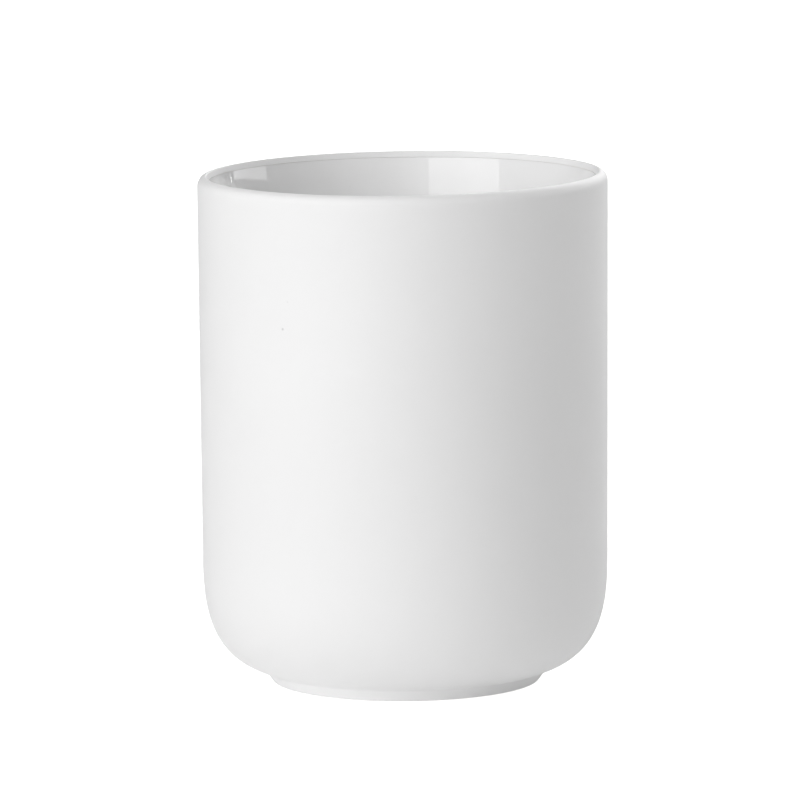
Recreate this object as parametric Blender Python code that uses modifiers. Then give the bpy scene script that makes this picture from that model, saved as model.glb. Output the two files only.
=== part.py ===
"""A round pen cup: a stoneware body, a matt coat outside, a gloss glaze inside and a pad underneath.

Metres, +Z up. The origin is the centre of the pad's lower face, which is the face the cup stands on. Every
piece is turned about the Z axis: it is a profile of (radius, height) points with a Screw modifier. A profile
runs from the inside of the cup over the lip and down the outside, so the clay is always on its right.
"""

import math

import bpy
from mathutils import Matrix, Vector

# The finished cup
HEIGHT = 0.100
MOUTH_RADIUS = 0.0399
WALL_TAPER = 0.0005  # how much narrower the wall's line is at the desk than at the rim

# The lip: a quarter ellipse outside, and inside a slow flare that ends in a nearly sharp edge
LIP_WIDTH = 0.00156
LIP_DROP = 0.0020
LIP_INNER_ROUND = 0.00025
FLARE_START = 0.083
FLARE_WIDTH = 0.0028  # how far the flare has opened at the rim
FLARE_POWER = 1.5
GLAZE_LINE = 0.0988  # height at which the coat ends and the glaze begins

# The lower corner: part of a quarter superellipse between the wall and the underside
CORNER_TOP = 0.0267  # height at which it leaves the wall
CORNER_DEPTH = 0.02236  # its half axis towards the centre
CORNER_DROP = 0.02480  # its half axis downwards
CORNER_POWER = 3.07

# The inside, whose corner has the same centre and power
FLOOR_HEIGHT = 0.0062
CORNER_WALL = 0.0048  # thickness of the finished wall at CORNER_TOP
UPPER_WALL = 0.0046  # and at FLARE_START

# The foot ring
FOOT_TOP_RADIUS = 0.0288  # where the underside stops being a superellipse
FOOT_TURN = 0.0010  # how far inside that the foot's side begins
FOOT_RADIUS = 0.0260  # the foot's sloping side, carried down to the land
FOOT_FILLET = 0.0006
FOOT_ROUND = 0.0005
LAND_OUTER_RADIUS = 0.0254  # where the coat ends under the foot
RECESS_RADIUS = 0.0222
RECESS_ROUND = 0.0005

# The pad
PAD_THICKNESS = 0.0016
PAD_PROUD = 0.0003
PAD_ROUND = 0.0003

# The layers. The gap stands for the bond between two of them.
FINISH = 0.0003  # thickness of the coat and of the glaze
GAP = 0.0003

# How finely the shapes are divided
TURN_STEPS = 48
CORNER_POINTS = 10
LIP_POINTS = 5
FLARE_POINTS = 5
ROUND_POINTS = 3
MERGE = 0.00001


def wall_radius(height):
    """Radius of the finished wall's outside, before the lip and the lower corner round it."""
    return MOUTH_RADIUS - WALL_TAPER * (1 - height / HEIGHT)


def inner_radius(height):
    """Radius of the finished inside above the lower corner, with the flare under the lip."""
    share = (height - CORNER_TOP) / (FLARE_START - CORNER_TOP)
    wall = CORNER_WALL + (UPPER_WALL - CORNER_WALL) * min(share, 1)
    rise = max(height - FLARE_START, 0) / (HEIGHT - FLARE_START)
    return wall_radius(height) - wall + FLARE_WIDTH * rise**FLARE_POWER


def quarter(centre, half_axes, start, end, power, points):
    """Corners on a superellipse about centre, between two angles in radians from 0 to pi/2 below or above it."""
    found = []
    for i in range(points + 1):
        angle = start + (end - start) * i / points
        across = half_axes[0] * abs(math.cos(angle)) ** (2 / power)
        up = math.copysign(half_axes[1] * abs(math.sin(angle)) ** (2 / power), angle)
        found.append((centre[0] + across, centre[1] + up, 0))
    return found


def offset(corners, distance):
    """The corners moved to the right of their path, into the clay, with each rounding changed to match.

    A corner that this would put behind the one before it is left out, as at the top of a thin lip.
    """
    moved = []
    last_place = last_corner = None
    for i, (radius, height, rounding) in enumerate(corners):
        corner = Vector((radius, height))
        before = (corner - Vector(corners[i - 1][:2])).normalized() if i > 0 else None
        after = (Vector(corners[i + 1][:2]) - corner).normalized() if i < len(corners) - 1 else None
        before = before or after
        after = after or before
        right_before = Vector((before.y, -before.x))
        right_after = Vector((after.y, -after.x))
        place = corner + distance * (right_before + right_after) / (1 + right_before.dot(right_after))
        if last_place and (place - last_place).dot(corner - last_corner) < 0:
            continue
        last_place, last_corner = place, corner
        if rounding:
            convex = before.x * after.y - before.y * after.x < 0
            rounding = max(rounding - distance, 0) if convex else rounding + distance
        moved.append((place.x, place.y, rounding))
    return moved


def rounded(corners):
    """The path through (radius, height, rounding) corners, with each rounding drawn as an arc."""
    path = []
    for i, (radius, height, rounding) in enumerate(corners):
        corner = Vector((radius, height))
        if rounding == 0:
            path.append(corner)
            continue
        before = (Vector(corners[i - 1][:2]) - corner).normalized()
        after = (Vector(corners[i + 1][:2]) - corner).normalized()
        half = before.angle(after) / 2
        centre = corner + (before + after).normalized() * (rounding / math.sin(half))
        start = corner + before * (rounding / math.tan(half)) - centre
        end = corner + after * (rounding / math.tan(half)) - centre
        turn = math.atan2(start.x * end.y - start.y * end.x, start.dot(end))
        for step in range(ROUND_POINTS + 1):
            path.append(centre + Matrix.Rotation(turn * step / ROUND_POINTS, 2) @ start)
    return path


def lining(top):
    """Corners of the inner surface, from the middle of the floor up to a height under the lip."""
    centre = wall_radius(CORNER_TOP) - CORNER_DEPTH
    depth = CORNER_DEPTH - CORNER_WALL
    drop = CORNER_TOP - FLOOR_HEIGHT
    corner = quarter((centre, CORNER_TOP), (depth, drop), -math.pi / 2, -0.0, CORNER_POWER, CORNER_POINTS)
    heights = [FLARE_START + (top - FLARE_START) * i / FLARE_POINTS for i in range(FLARE_POINTS + 1)]
    return [(0, FLOOR_HEIGHT, 0), *corner, *((inner_radius(height), height, 0) for height in heights)]


def skin():
    """Corners of the outer surface, from the glaze line up over the lip and down to the land under the foot."""
    inside = lining(GLAZE_LINE)[-1]
    inner_edge = (inner_radius(HEIGHT), HEIGHT, LIP_INNER_ROUND)
    lip_base = HEIGHT - LIP_DROP
    lip = quarter(
        (wall_radius(lip_base) - LIP_WIDTH, lip_base), (LIP_WIDTH, LIP_DROP), math.pi / 2, 0, 2, LIP_POINTS
    )

    centre = wall_radius(CORNER_TOP) - CORNER_DEPTH
    reach = (FOOT_TOP_RADIUS - centre) / CORNER_DEPTH
    foot_angle = math.acos(reach ** (CORNER_POWER / 2))
    corner = quarter(
        (centre, CORNER_TOP), (CORNER_DEPTH, CORNER_DROP), -0.0, -foot_angle, CORNER_POWER, CORNER_POINTS
    )
    last, end = corner[-2], corner[-1]
    slope = (end[1] - last[1]) / (end[0] - last[0])
    foot_top = (FOOT_TOP_RADIUS - FOOT_TURN, end[1] - FOOT_TURN * slope, FOOT_FILLET)
    foot_edge = (FOOT_RADIUS, PAD_PROUD, FOOT_ROUND)
    land = (LAND_OUTER_RADIUS, PAD_PROUD, 0)
    return [inside, inner_edge, *lip, *corner, foot_top, foot_edge, land]


def layer(surface):
    """Closed profile of a finish of even thickness under a surface."""
    return rounded(surface) + rounded(offset(surface, FINISH))[::-1]


def body_profile():
    """The clay: everything inside the finishes, with the foot's bare land and the recess for the pad."""
    clay = offset(lining(GLAZE_LINE)[:-1] + skin(), FINISH + GAP)
    land_radius = LAND_OUTER_RADIUS - GAP
    clay[-1] = (land_radius, clay[-1][1], 0)
    ceiling = PAD_THICKNESS + GAP
    underside = [
        (land_radius, PAD_PROUD, 0),
        (RECESS_RADIUS, PAD_PROUD, RECESS_ROUND),
        (RECESS_RADIUS, ceiling, 0),
        (0, ceiling, 0),
    ]
    return rounded(clay + underside)


def pad_profile():
    radius = RECESS_RADIUS - GAP
    return rounded([(0, PAD_THICKNESS, 0), (radius, PAD_THICKNESS, 0), (radius, 0, PAD_ROUND), (0, 0, 0)])


def principled(name, colour, roughness):
    material = bpy.data.materials.new(name)
    material.use_nodes = True
    shader = material.node_tree.nodes["Principled BSDF"]
    shader.inputs["Base Color"].default_value = (*colour, 1)
    shader.inputs["Roughness"].default_value = roughness
    shader.inputs["Metallic"].default_value = 0
    return material


def turned(name, profile, closed, material, parent):
    """Turns a profile about Z. An open profile starts and ends on the axis."""
    edges = [(i, i + 1) for i in range(len(profile) - 1)]
    if closed:
        edges.append((len(profile) - 1, 0))
    mesh = bpy.data.meshes.new(name)
    mesh.from_pydata([(point.x, 0, point.y) for point in profile], edges, [])
    mesh.materials.append(material)
    piece = bpy.data.objects.new(name, mesh)
    piece.parent = parent
    parent.users_collection[0].objects.link(piece)
    screw = piece.modifiers.new("Turn", "SCREW")
    screw.axis = "Z"
    screw.angle = 2 * math.pi
    screw.steps = TURN_STEPS
    screw.render_steps = TURN_STEPS
    screw.use_merge_vertices = True
    screw.merge_threshold = MERGE
    screw.use_smooth_shade = True


def main():
    for old in list(bpy.data.objects):
        bpy.data.objects.remove(old)
    collection = bpy.data.collections.new("pen_cup")
    bpy.context.scene.collection.children.link(collection)
    cup = bpy.data.objects.new("pen_cup", None)
    collection.objects.link(cup)

    stoneware = principled("bare_stoneware", (0.80, 0.77, 0.71), 0.75)
    matt_white = principled("matt_white_coat", (0.86, 0.86, 0.85), 0.55)
    white_glaze = principled("white_glaze", (0.85, 0.85, 0.84), 0.08)
    pale_rubber = principled("pad_rubber", (0.69, 0.69, 0.68), 0.80)

    turned("cup_body", body_profile(), False, stoneware, cup)
    turned("soft_touch_coat", layer(skin()), True, matt_white, cup)
    turned("inner_glaze", layer(lining(GLAZE_LINE - GAP)), False, white_glaze, cup)
    turned("base_pad", pad_profile(), False, pale_rubber, cup)


main()
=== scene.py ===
"""The looks of the pen cup: finely turned layers, their finishes, and a plain white studio.

Metres, +Z up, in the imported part's own frame. Every piece stands for one CAD node and is turned from the
same outline as that node, with many more points and with the small unevenness of a hand-finished ceramic.
The layers lie against each other here, where the CAD solids keep a gap.
"""

import math

import bpy
from mathutils import Matrix, Quaternion, Vector, noise


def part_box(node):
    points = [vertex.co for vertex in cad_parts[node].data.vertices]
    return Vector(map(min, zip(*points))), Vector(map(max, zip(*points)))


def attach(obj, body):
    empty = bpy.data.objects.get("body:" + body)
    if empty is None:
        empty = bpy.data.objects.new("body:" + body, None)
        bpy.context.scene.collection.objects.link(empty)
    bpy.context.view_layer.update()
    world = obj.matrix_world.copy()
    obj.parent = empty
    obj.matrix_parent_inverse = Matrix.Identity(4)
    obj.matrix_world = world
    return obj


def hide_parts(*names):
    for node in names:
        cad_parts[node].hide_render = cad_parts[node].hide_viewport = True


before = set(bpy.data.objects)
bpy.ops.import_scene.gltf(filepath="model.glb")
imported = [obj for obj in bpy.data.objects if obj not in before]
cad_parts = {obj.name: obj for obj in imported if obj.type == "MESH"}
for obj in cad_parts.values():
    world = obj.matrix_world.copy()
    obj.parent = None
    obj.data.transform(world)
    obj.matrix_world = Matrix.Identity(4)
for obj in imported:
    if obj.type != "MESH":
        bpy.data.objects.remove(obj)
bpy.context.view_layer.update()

# Sizes read from the frame
COAT_LOW, COAT_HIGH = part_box("soft_touch_coat")
PAD_LOW, PAD_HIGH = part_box("base_pad")
HEIGHT = COAT_HIGH.z
LAND_HEIGHT = COAT_LOW.z
PAD_RADIUS = PAD_HIGH.x
PAD_THICKNESS = PAD_HIGH.z

# The profile's driving dimensions, as in the part
MOUTH_RADIUS = 0.0399
WALL_TAPER = 0.0005
LIP_WIDTH, LIP_DROP, LIP_INNER_ROUND = 0.00156, 0.0020, 0.00025
FLARE_START, FLARE_WIDTH, FLARE_POWER = 0.083, 0.0028, 1.5
GLAZE_LINE = 0.0988
CORNER_TOP, CORNER_DEPTH, CORNER_DROP, CORNER_POWER = 0.0267, 0.02236, 0.0248, 3.07
FLOOR_HEIGHT = 0.0062
CORNER_WALL, UPPER_WALL = 0.0048, 0.0046
FOOT_TOP_RADIUS, FOOT_TURN, FOOT_RADIUS = 0.0288, 0.0010, 0.0260
FOOT_FILLET, FOOT_ROUND = 0.0006, 0.0005
LAND_OUTER_RADIUS = 0.0254
RECESS_RADIUS, RECESS_ROUND = 0.0222, 0.0005
RECESS_CEILING = PAD_THICKNESS + 0.0001  # just clear of the pad
PAD_ROUND = 0.0003  # of the pad's lower edge; its upper edge, out of sight, has a third of it

# The finishes as they look, with no gap behind them
COAT = 0.00025
GLAZE = 0.0003
SEAM = 0.00004  # the fine step where the coat's edge meets the glaze or the bare foot

# How finely the shapes are divided
SEGMENTS = 240
MERGE = 0.000001  # points of a profile nearer together than this are one
AXIS = 0.0000001  # a point nearer to Z than this is on it
SHARP_ANGLE = 35  # degrees between faces, above which the edge is shaded sharp
CORNER_POINTS, LIP_POINTS, FLARE_POINTS, WALL_POINTS, ROUND_POINTS, FLOOR_POINTS = 40, 14, 14, 46, 6, 8

# The coat's few flecks: place, radius and shade
COAT_FLECKS = (
    ((-0.0230, -0.0323, 0.0736), 0.00035, 0.66),
    ((-0.0220, -0.0330, 0.0789), 0.00022, 0.78),
    ((0.0312, 0.0241, 0.0432), 0.00030, 0.70),
    ((-0.0105, 0.0380, 0.0587), 0.00025, 0.74),
)

# A hand-finished cup's unevenness. The tilt and the oval grow from nothing at CORNER_TOP to their full size
# at the rim. The wave is the same all the way up. The oval and the wave fade out near the axis.
RIM_TILT = 0.0074  # radians: the rim stands higher on the +X side
OVAL = 0.00004
OVAL_PHASE = 0.7  # radians
WAVE = 0.00002
WAVE_SCALE = 45
WAVE_STRETCH = 0.6  # the wave is this much slower along Z
FADE_RADIUS = 0.01


# ---------------------------------------------------------------- profiles


def wall_radius(height):
    """Radius of the outside, before the lip and the lower corner round it."""
    return MOUTH_RADIUS - WALL_TAPER * (1 - height / HEIGHT)


def inner_radius(height):
    """Radius of the inside above the lower corner, with the flare under the lip."""
    share = (height - CORNER_TOP) / (FLARE_START - CORNER_TOP)
    wall = CORNER_WALL + (UPPER_WALL - CORNER_WALL) * min(share, 1)
    rise = max(height - FLARE_START, 0) / (HEIGHT - FLARE_START)
    return wall_radius(height) - wall + FLARE_WIDTH * rise**FLARE_POWER


def steps(start, end, count):
    """Evenly spaced numbers from start to end, both included."""
    return [start + (end - start) * i / count for i in range(count + 1)]


def quarter(centre, half_axes, start, end, power, points):
    """Points on a superellipse about centre, between two angles from -pi/2 to pi/2."""
    found = []
    for angle in steps(start, end, points):
        across = half_axes[0] * abs(math.cos(angle)) ** (2 / power)
        up = math.copysign(half_axes[1] * abs(math.sin(angle)) ** (2 / power), angle)
        found.append((centre[0] + across, centre[1] + up, 0))
    return found


def rounded(corners, points=ROUND_POINTS):
    """The path through (radius, height, rounding) corners, with each rounding drawn as an arc."""
    path = []
    for i, (radius, height, rounding) in enumerate(corners):
        corner = Vector((radius, height))
        if rounding == 0:
            path.append(corner)
            continue
        before = (Vector(corners[i - 1][:2]) - corner).normalized()
        after = (Vector(corners[i + 1][:2]) - corner).normalized()
        half = before.angle(after) / 2
        centre = corner + (before + after).normalized() * (rounding / math.sin(half))
        start = corner + before * (rounding / math.tan(half)) - centre
        end = corner + after * (rounding / math.tan(half)) - centre
        turn = math.atan2(start.x * end.y - start.y * end.x, start.dot(end))
        path += [centre + Matrix.Rotation(angle, 2) @ start for angle in steps(0, turn, points)]
    return path


def lining(top):
    """The inner surface, from the middle of the floor up to a height under the lip."""
    centre = wall_radius(CORNER_TOP) - CORNER_DEPTH
    half_axes = (CORNER_DEPTH - CORNER_WALL, CORNER_TOP - FLOOR_HEIGHT)
    floor = [(radius, FLOOR_HEIGHT, 0) for radius in steps(0, centre, FLOOR_POINTS)[:-1]]
    corner = quarter((centre, CORNER_TOP), half_axes, -math.pi / 2, -0.0, CORNER_POWER, CORNER_POINTS)
    heights = steps(CORNER_TOP, FLARE_START, WALL_POINTS)[1:] + steps(FLARE_START, top, FLARE_POINTS)[1:]
    return floor + corner + [(inner_radius(height), height, 0) for height in heights]


def skin():
    """The outer surface, from the glaze line over the lip and down to where the coat ends under the foot."""
    lip_base = HEIGHT - LIP_DROP
    inside = (inner_radius(GLAZE_LINE), GLAZE_LINE, 0)
    inner_edge = (inner_radius(HEIGHT), HEIGHT, LIP_INNER_ROUND)
    lip_centre = (wall_radius(lip_base) - LIP_WIDTH, lip_base)
    lip = quarter(lip_centre, (LIP_WIDTH, LIP_DROP), math.pi / 2, 0, 2, LIP_POINTS)
    wall = [(wall_radius(height), height, 0) for height in steps(lip_base, CORNER_TOP, WALL_POINTS)[1:-1]]
    centre = wall_radius(CORNER_TOP) - CORNER_DEPTH
    foot_angle = math.acos(((FOOT_TOP_RADIUS - centre) / CORNER_DEPTH) ** (CORNER_POWER / 2))
    half_axes = (CORNER_DEPTH, CORNER_DROP)
    corner = quarter((centre, CORNER_TOP), half_axes, -0.0, -foot_angle, CORNER_POWER, CORNER_POINTS)
    last, end = corner[-2], corner[-1]
    slope = (end[1] - last[1]) / (end[0] - last[0])
    foot_top = (FOOT_TOP_RADIUS - FOOT_TURN, end[1] - FOOT_TURN * slope, FOOT_FILLET)
    foot_edge = (FOOT_RADIUS, LAND_HEIGHT, FOOT_ROUND)
    land = (LAND_OUTER_RADIUS, LAND_HEIGHT, 0)
    return rounded([inside, inner_edge, *lip, *wall, *corner, foot_top, foot_edge, land])


def offset(path, distance):
    """The path moved to its right, into the clay. A point that would double back is left out."""
    moved = []
    last_place = last_point = None
    for i, point in enumerate(path):
        along = (path[min(i + 1, len(path) - 1)] - path[max(i - 1, 0)]).normalized()
        place = point + distance * Vector((along.y, -along.x))
        if last_place and (place - last_place).dot(point - last_point) < 0:
            continue
        last_place, last_point = place, point
        moved.append(place)
    return moved


def layer(surface, thickness):
    """Closed profile of a finish of even thickness under a surface."""
    return surface + offset(surface, thickness)[::-1]


# ---------------------------------------------------------------- meshes


def uneven(point):
    """A point of the perfect cup moved to where the real one has it. All layers move together."""
    share = min(max((point.z - CORNER_TOP) / (HEIGHT - CORNER_TOP), 0), 1)
    radius = math.hypot(point.x, point.y)
    if radius < MERGE:
        return point
    angle = math.atan2(point.y, point.x)
    wave = noise.noise(Vector((point.x, point.y, point.z * WAVE_STRETCH)) * WAVE_SCALE)
    inward = share * OVAL * (1 - math.cos(2 * angle + OVAL_PHASE)) + WAVE * (1 + wave)
    factor = 1 - inward / radius * min(radius / FADE_RADIUS, 1)
    tilt = share * RIM_TILT * (point.x - MOUTH_RADIUS)
    return Vector((point.x * factor, point.y * factor, point.z + tilt))


def turned(name, profile, closed, material):
    """Turns a profile about Z into one closed mesh. An open profile starts and ends on the axis."""
    verts, rings = [], []
    for i, point in enumerate(profile):
        if i > 0 and (point - profile[i - 1]).length < MERGE:
            continue
        start = len(verts)
        if point.x < AXIS:
            verts.append(uneven(Vector((0, 0, point.y))))
            rings.append([start] * SEGMENTS)
            continue
        for k in range(SEGMENTS):
            angle = 2 * math.pi * k / SEGMENTS
            verts.append(uneven(Vector((point.x * math.cos(angle), point.x * math.sin(angle), point.y))))
        rings.append(list(range(start, start + SEGMENTS)))
    pairs = list(zip(rings, rings[1:]))
    if closed:
        pairs.append((rings[-1], rings[0]))
    faces = []
    for upper, lower in pairs:
        for k in range(SEGMENTS):
            after = (k + 1) % SEGMENTS
            corners = [upper[k], lower[k], lower[after], upper[after]]
            faces.append(list(dict.fromkeys(corners)))
    mesh = bpy.data.meshes.new(name)
    mesh.from_pydata(verts, [], faces)
    mesh.materials.append(material)
    mesh.shade_smooth()
    mesh.set_sharp_from_angle(angle=math.radians(SHARP_ANGLE))
    piece = bpy.data.objects.new(name, mesh)
    bpy.context.scene.collection.objects.link(piece)
    return piece


# ---------------------------------------------------------------- materials


class Nodes:
    """A material's node tree, with short ways to add and join nodes."""

    def __init__(self, name):
        self.material = bpy.data.materials.new(name)
        self.material.use_nodes = True
        self.tree = self.material.node_tree
        self.shader = self.tree.nodes["Principled BSDF"]
        self.place = self.add("ShaderNodeTexCoord").outputs["Object"]

    def add(self, kind, **values):
        """A new node, with its properties or its inputs set by name."""
        node = self.tree.nodes.new(kind)
        for name, value in values.items():
            if name in node.bl_rna.properties:
                setattr(node, name, value)
            else:
                node.inputs[name.replace("_", " ")].default_value = value
        return node

    def join(self, output, node, socket):
        self.tree.links.new(output, node.inputs[socket])
        return node

    def noise(self, scale, detail=2.0, roughness=0.5):
        node = self.add("ShaderNodeTexNoise", Scale=scale, Detail=detail, Roughness=roughness)
        return self.join(self.place, node, "Vector").outputs["Fac"]

    def spots(self, scale, size):
        """1 inside small round spots scattered at random, and 0 between them."""
        cells = self.join(self.place, self.add("ShaderNodeTexVoronoi", Scale=scale), "Vector")
        return self.ramp(cells.outputs["Distance"], size, size * 0.5)

    def distance(self, point):
        """How far the surface is from a point of the piece."""
        node = self.add("ShaderNodeVectorMath", operation="DISTANCE")
        node.inputs[1].default_value = point
        return self.join(self.place, node, 0).outputs["Value"]

    def ramp(self, value, low, high, to_low=0.0, to_high=1.0):
        """The value carried from low..high to to_low..to_high, and held at the ends."""
        node = self.add("ShaderNodeMapRange")
        limits = {"From Min": low, "From Max": high, "To Min": to_low, "To Max": to_high}
        for socket, number in limits.items():
            node.inputs[socket].default_value = number
        return self.join(value, node, "Value").outputs["Result"]

    def times(self, one, other):
        node = self.add("ShaderNodeMath", operation="MULTIPLY")
        self.tree.links.new(one, node.inputs[0])
        self.tree.links.new(other, node.inputs[1])
        return node.outputs["Value"]

    def mix(self, factor, first, second):
        """The colour between two colours or sockets."""
        node = self.add("ShaderNodeMix", data_type="RGBA")
        self.tree.links.new(factor, node.inputs["Factor"])
        for socket, colour in ((node.inputs[6], first), (node.inputs[7], second)):
            if isinstance(colour, bpy.types.NodeSocket):
                self.tree.links.new(colour, socket)
            else:
                socket.default_value = (*colour, 1)
        return node.outputs[2]

    def bump(self, height, depth, under=None):
        """A bump of this depth in metres for a height from 0 to 1."""
        node = self.add("ShaderNodeBump", Distance=depth)
        node.inputs["Strength"].default_value = 1
        self.tree.links.new(height, node.inputs["Height"])
        if under is not None:
            self.tree.links.new(under, node.inputs["Normal"])
        return node.outputs["Normal"]

    def finish(self, colour, roughness, normal, **sockets):
        """Joins what varies to the shader and sets what doesn't."""
        for socket, source in (("Base Color", colour), ("Roughness", roughness), ("Normal", normal)):
            self.tree.links.new(source, self.shader.inputs[socket])
        for name, value in sockets.items():
            self.shader.inputs[name.replace("_", " ")].default_value = value
        return self.material


def matt_coat():
    """White and matt, a little clouded, with a few flecks and a fine grain on a slow swell."""
    m = Nodes("matt_white_coat")
    cloud = m.noise(28, 3)
    colour = m.mix(m.ramp(cloud, 0.3, 0.7), (0.857, 0.856, 0.856), (0.872, 0.871, 0.871))
    for spot, radius, shade in COAT_FLECKS:
        colour = m.mix(m.ramp(m.distance(spot), radius, radius * 0.3), colour, (shade, shade, shade))
    roughness = m.ramp(m.noise(700, 2), 0.3, 0.7, 0.50, 0.60)
    swell = m.bump(m.noise(160, 2), 0.00001)
    grain = m.bump(m.noise(5200, 3, 0.6), 0.000008, swell)
    return m.finish(colour, roughness, grain, Sheen_Weight=0.08, Sheen_Roughness=0.5, IOR=1.46)


def gloss_glaze():
    """White and glossy, with a few faint specks, a slight ripple and a trace of orange peel."""
    m = Nodes("white_glaze")
    colour = m.mix(m.ramp(m.noise(60, 3), 0.3, 0.7), (0.850, 0.849, 0.849), (0.865, 0.865, 0.865))
    specks = m.times(m.spots(200, 0.06), m.ramp(m.noise(70, 1), 0.66, 0.70))
    colour = m.mix(specks, colour, (0.66, 0.64, 0.60))
    roughness = m.ramp(m.noise(300, 2), 0.3, 0.7, 0.012, 0.028)
    ripple = m.bump(m.noise(110, 1), 0.000003)
    peel = m.bump(m.noise(900, 2), 0.0000003, ripple)
    return m.finish(colour, roughness, peel, IOR=1.52)


def bare_stoneware():
    """Rough unglazed clay with dark grains of grog."""
    m = Nodes("bare_stoneware")
    body = m.mix(m.ramp(m.noise(420, 4), 0.3, 0.7), (0.74, 0.71, 0.65), (0.83, 0.80, 0.75))
    grog = m.times(m.spots(1400, 0.3), m.ramp(m.noise(800, 1), 0.52, 0.60))
    colour = m.mix(grog, body, (0.52, 0.46, 0.38))
    roughness = m.ramp(m.noise(900, 2), 0.3, 0.7, 0.78, 0.92)
    coarse = m.bump(m.noise(1500, 4, 0.65), 0.00004)
    fine = m.bump(m.noise(6000, 2), 0.00001, coarse)
    return m.finish(colour, roughness, fine, IOR=1.5)


def pad_rubber():
    """Pale grey rubber with a pebbled face and some dust."""
    m = Nodes("pad_rubber")
    colour = m.mix(m.ramp(m.noise(240, 3), 0.3, 0.7), (0.66, 0.66, 0.65), (0.72, 0.72, 0.71))
    dust = m.ramp(m.noise(900, 4, 0.7), 0.56, 0.72, 0.0, 0.35)
    colour = m.mix(dust, colour, (0.80, 0.79, 0.77))
    roughness = m.ramp(m.noise(1200, 2), 0.3, 0.7, 0.72, 0.86)
    pebble = m.bump(m.spots(1500, 0.45), 0.00003)
    return m.finish(colour, roughness, pebble, IOR=1.5)


# ---------------------------------------------------------------- the cup


def body_profile():
    """The clay's own surface, which shows only under the foot: the land and the recess for the pad."""
    clay = offset([Vector(point[:2]) for point in lining(GLAZE_LINE)[:-1]] + skin(), COAT)
    clay = [point for point in clay if point.y > LAND_HEIGHT + COAT or point.x > LAND_OUTER_RADIUS]
    edge = LAND_OUTER_RADIUS - SEAM
    underside = [
        (edge, LAND_HEIGHT + COAT, 0),
        (edge, LAND_HEIGHT, SEAM),
        (RECESS_RADIUS, LAND_HEIGHT, RECESS_ROUND),
        (RECESS_RADIUS, RECESS_CEILING, 0),
        (RECESS_RADIUS * 0.5, RECESS_CEILING, 0),
        (0, RECESS_CEILING, 0),
    ]
    return clay + rounded(underside)


def pad_profile():
    """The pad's outline, from the middle of its top over its edge to the middle of its lower face."""
    outline = [
        (0, PAD_THICKNESS, 0),
        (PAD_RADIUS * 0.5, PAD_THICKNESS, 0),
        (PAD_RADIUS, PAD_THICKNESS, PAD_ROUND / 3),
        (PAD_RADIUS, PAD_LOW.z, PAD_ROUND),
        (PAD_RADIUS * 0.5, PAD_LOW.z, 0),
        (0, PAD_LOW.z, 0),
    ]
    return rounded(outline)


def build_cup():
    """The four layers, each standing for its CAD node and riding the cup's one body."""
    lining_path = [Vector(point[:2]) for point in lining(GLAZE_LINE - SEAM)]
    glaze_back = offset(lining_path, GLAZE)[::-1]
    glaze_back[-1].x = 0
    pieces = (
        ("body", body_profile(), False, bare_stoneware(), "cup_body", "bare_stoneware"),
        ("coat", layer(skin(), COAT), True, matt_coat(), "soft_touch_coat", "matt_white_coat"),
        ("glaze", lining_path + glaze_back, False, gloss_glaze(), "inner_glaze", "white_glaze"),
        ("pad", pad_profile(), False, pad_rubber(), "base_pad", "pad_rubber"),
    )
    for name, profile, closed, material, node, slot in pieces:
        piece = turned("fine_" + name, profile, closed, material)
        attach(piece, "root")
        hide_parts(node)


# ---------------------------------------------------------------- studio

CAMERA_PLACE = (0, -1.572, 0.280)
CAMERA_TARGET = (-0.0008, 0, 0.0552)
CAMERA_ROLL = -0.0075  # radians
LENS, SENSOR_WIDTH = 367.1, 36  # millimetres

# The softboxes: name, the directions of the corners as azimuth and elevation in degrees, and radiance.
# Azimuth 0 is the camera's side, -Y, and 90 is +X, as seen from the cup's axis at MOUTH_LEVEL.
SOFTBOXES = (
    ("key_low", ((-17, -3), (-17, 24), (-60, 24), (-69, -3)), 1.98),
    ("key_high", ((-17, 24), (-17, 55), (-60, 55), (-60, 24)), 0.4),
    ("side", ((92.3, 11.6), (92.3, 50), (115, 50), (122, 8), (124.4, 6.6)), 2.15),
    ("back", ((125, 9), (125, 40), (175, 40), (175, 9)), 4.4),
    ("strip_lamp", ((127.2, 5.85), (127.2, 6.35), (127.75, 6.35), (127.75, 5.85)), 12),
)
SOFTBOX_DISTANCE = 1.3
MOUTH_LEVEL = 0.09

# The room's soft glows: azimuth, elevation, the angles at which each one ends and is full, and its radiance
WORLD_GLOWS = (
    (-40, 40, 50, 5, 1.85),
    (10, 25, 40, 5, 0.71),
    (-110, 15, 45, 5, 0.64),
    (0, -90, 88, 30, 0.9),  # below the table, so it shows only where the table is taken away
)
WORLD_BASE = 0.02
WORLD_SEEN = 1.1  # what the camera sees instead: clean white

# The table, which glows faintly round the cup. The camera sees it lit evenly, as clean white.
FLOOR_RADIUS = 30
FLOOR_GAP = 0.00002  # keeps the table clear of the pad
FLOOR_SEEN = 0.9
TABLE_GLOW = 0.27
TABLE_GLOW_RADIUS = 0.085
TABLE_GLOW_CENTRE = (-0.012, -0.005)


def towards(azimuth, elevation):
    """The direction of an azimuth and an elevation in degrees."""
    a, e = math.radians(azimuth), math.radians(elevation)
    return Vector((math.sin(a) * math.cos(e), -math.cos(a) * math.cos(e), math.sin(e)))


def pointing(place, target, roll):
    """Matrix of a camera at place that looks at target, turned by roll about its line of sight."""
    turn = (Vector(target) - Vector(place)).to_track_quat("-Z", "Y") @ Quaternion((0, 0, 1), roll)
    return Matrix.Translation(place) @ turn.to_matrix().to_4x4()


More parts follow.
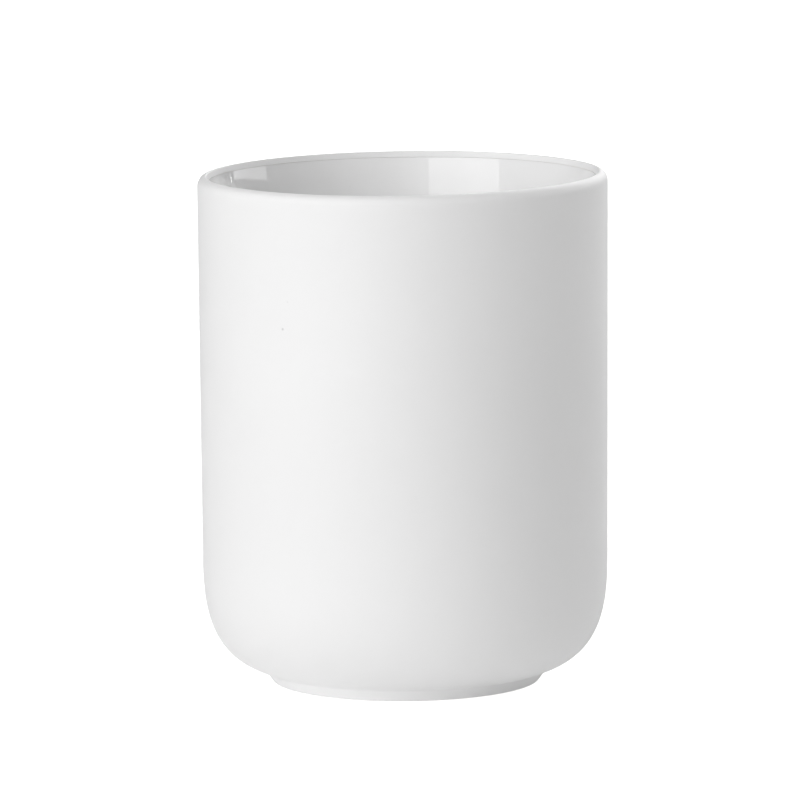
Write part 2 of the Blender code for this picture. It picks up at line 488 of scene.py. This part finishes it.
def add_camera():
    data = bpy.data.cameras.new("camera")
    data.lens, data.sensor_width = LENS, SENSOR_WIDTH
    data.clip_start, data.clip_end = 0.1, 200
    camera = bpy.data.objects.new("camera", data)
    camera.matrix_world = pointing(CAMERA_PLACE, CAMERA_TARGET, CAMERA_ROLL)
    bpy.context.scene.collection.objects.link(camera)
    bpy.context.scene.camera = camera


def add_softbox(name, corners, radiance):
    """A flat upright sheet that glows, with its corners in these directions.

    It adds its light to what is behind it, and the camera doesn't see it.
    """
    centre = math.radians(sum(azimuth for azimuth, _ in corners) / len(corners))
    across_axis = Vector((math.cos(centre), math.sin(centre), 0))
    facing = Vector((math.sin(centre), -math.cos(centre), 0))
    outline = []
    for azimuth, elevation in corners:
        ray = towards(azimuth, elevation)
        place = ray * (SOFTBOX_DISTANCE / ray.dot(facing))
        outline.append((place.dot(across_axis), place.z, 0))
    mesh = bpy.data.meshes.new(name)
    mesh.from_pydata(outline, [], [range(len(outline))])
    material = bpy.data.materials.new(name)
    material.use_nodes = True
    tree = material.node_tree
    tree.nodes.clear()
    glow = tree.nodes.new("ShaderNodeEmission")
    glow.inputs["Strength"].default_value = radiance
    both = tree.nodes.new("ShaderNodeAddShader")
    tree.links.new(glow.outputs[0], both.inputs[0])
    tree.links.new(tree.nodes.new("ShaderNodeBsdfTransparent").outputs[0], both.inputs[1])
    tree.links.new(both.outputs[0], tree.nodes.new("ShaderNodeOutputMaterial").inputs["Surface"])
    mesh.materials.append(material)
    panel = bpy.data.objects.new(name, mesh)
    columns = (across_axis, Vector((0, 0, 1)), facing)
    turn = Matrix(columns).transposed().to_4x4()
    middle = facing * SOFTBOX_DISTANCE + Vector((0, 0, MOUTH_LEVEL))
    panel.matrix_world = Matrix.Translation(middle) @ turn
    panel.visible_camera = False
    panel.visible_shadow = False
    bpy.context.scene.collection.objects.link(panel)


def add_floor():
    """A wide pale table that glows a little round the cup. The camera sees it as clean white."""
    below = (0, 0, -FLOOR_GAP)
    bpy.ops.mesh.primitive_circle_add(vertices=96, radius=FLOOR_RADIUS, fill_type="NGON", location=below)
    floor = bpy.context.object
    floor.name = "floor"
    material = bpy.data.materials.new("floor")
    material.use_nodes = True
    tree = material.node_tree
    shader = tree.nodes["Principled BSDF"]
    shader.inputs["Base Color"].default_value = (0.80, 0.80, 0.80, 1)
    shader.inputs["Roughness"].default_value = 0.9
    shader.inputs["Specular IOR Level"].default_value = 0
    shader.inputs["Emission Color"].default_value = (1, 1, 1, 1)

    place = tree.nodes.new("ShaderNodeNewGeometry").outputs["Position"]
    length = tree.nodes.new("ShaderNodeVectorMath")
    length.operation = "DISTANCE"
    length.inputs[1].default_value = (*TABLE_GLOW_CENTRE, 0)
    tree.links.new(place, length.inputs[0])
    glow = tree.nodes.new("ShaderNodeMapRange")
    glow.interpolation_type = "SMOOTHSTEP"
    glow.inputs["From Min"].default_value = 0
    glow.inputs["From Max"].default_value = TABLE_GLOW_RADIUS
    glow.inputs["To Min"].default_value = TABLE_GLOW
    glow.inputs["To Max"].default_value = 0
    tree.links.new(length.outputs["Value"], glow.inputs["Value"])

    seen = tree.nodes.new("ShaderNodeMix")
    seen.inputs["B"].default_value = FLOOR_SEEN
    tree.links.new(tree.nodes.new("ShaderNodeLightPath").outputs["Is Camera Ray"], seen.inputs["Factor"])
    tree.links.new(glow.outputs["Result"], seen.inputs["A"])
    tree.links.new(seen.outputs["Result"], shader.inputs["Emission Strength"])
    floor.data.materials.append(material)


def add_world():
    """The room's glows on a dim base, behind a plain white that only the camera sees."""
    world = bpy.data.worlds.new("studio")
    bpy.context.scene.world = world
    world.use_nodes = True
    tree = world.node_tree
    tree.nodes.clear()

    def node(kind, **settings):
        made = tree.nodes.new(kind)
        for name, value in settings.items():
            setattr(made, name, value)
        return made

    direction = node("ShaderNodeTexCoord").outputs["Generated"]
    total = None
    for azimuth, elevation, outer, inner, strength in WORLD_GLOWS:
        dot = node("ShaderNodeVectorMath", operation="DOT_PRODUCT")
        tree.links.new(direction, dot.inputs[0])
        dot.inputs[1].default_value = towards(azimuth, elevation)
        lobe = node("ShaderNodeMapRange", interpolation_type="SMOOTHSTEP")
        tree.links.new(dot.outputs["Value"], lobe.inputs["Value"])
        lobe.inputs["From Min"].default_value = math.cos(math.radians(outer))
        lobe.inputs["From Max"].default_value = math.cos(math.radians(inner))
        lobe.inputs["To Max"].default_value = strength
        if total is None:
            total = lobe.outputs["Result"]
            continue
        add = node("ShaderNodeMath", operation="ADD")
        tree.links.new(total, add.inputs[0])
        tree.links.new(lobe.outputs["Result"], add.inputs[1])
        total = add.outputs["Value"]
    base = node("ShaderNodeMath", operation="ADD")
    base.inputs[1].default_value = WORLD_BASE
    tree.links.new(total, base.inputs[0])

    lit = node("ShaderNodeBackground")
    tree.links.new(base.outputs["Value"], lit.inputs["Strength"])
    seen = node("ShaderNodeBackground")
    seen.inputs["Strength"].default_value = WORLD_SEEN
    mix = node("ShaderNodeMixShader")
    tree.links.new(node("ShaderNodeLightPath").outputs["Is Camera Ray"], mix.inputs["Fac"])
    tree.links.new(lit.outputs[0], mix.inputs[1])
    tree.links.new(seen.outputs[0], mix.inputs[2])
    tree.links.new(mix.outputs[0], node("ShaderNodeOutputWorld").inputs["Surface"])


build_cup()
add_camera()
add_floor()
add_world()
for softbox in SOFTBOXES:
    add_softbox(*softbox)
bpy.context.scene.view_settings.view_transform = "Standard"

bpy.context.view_layer.update()
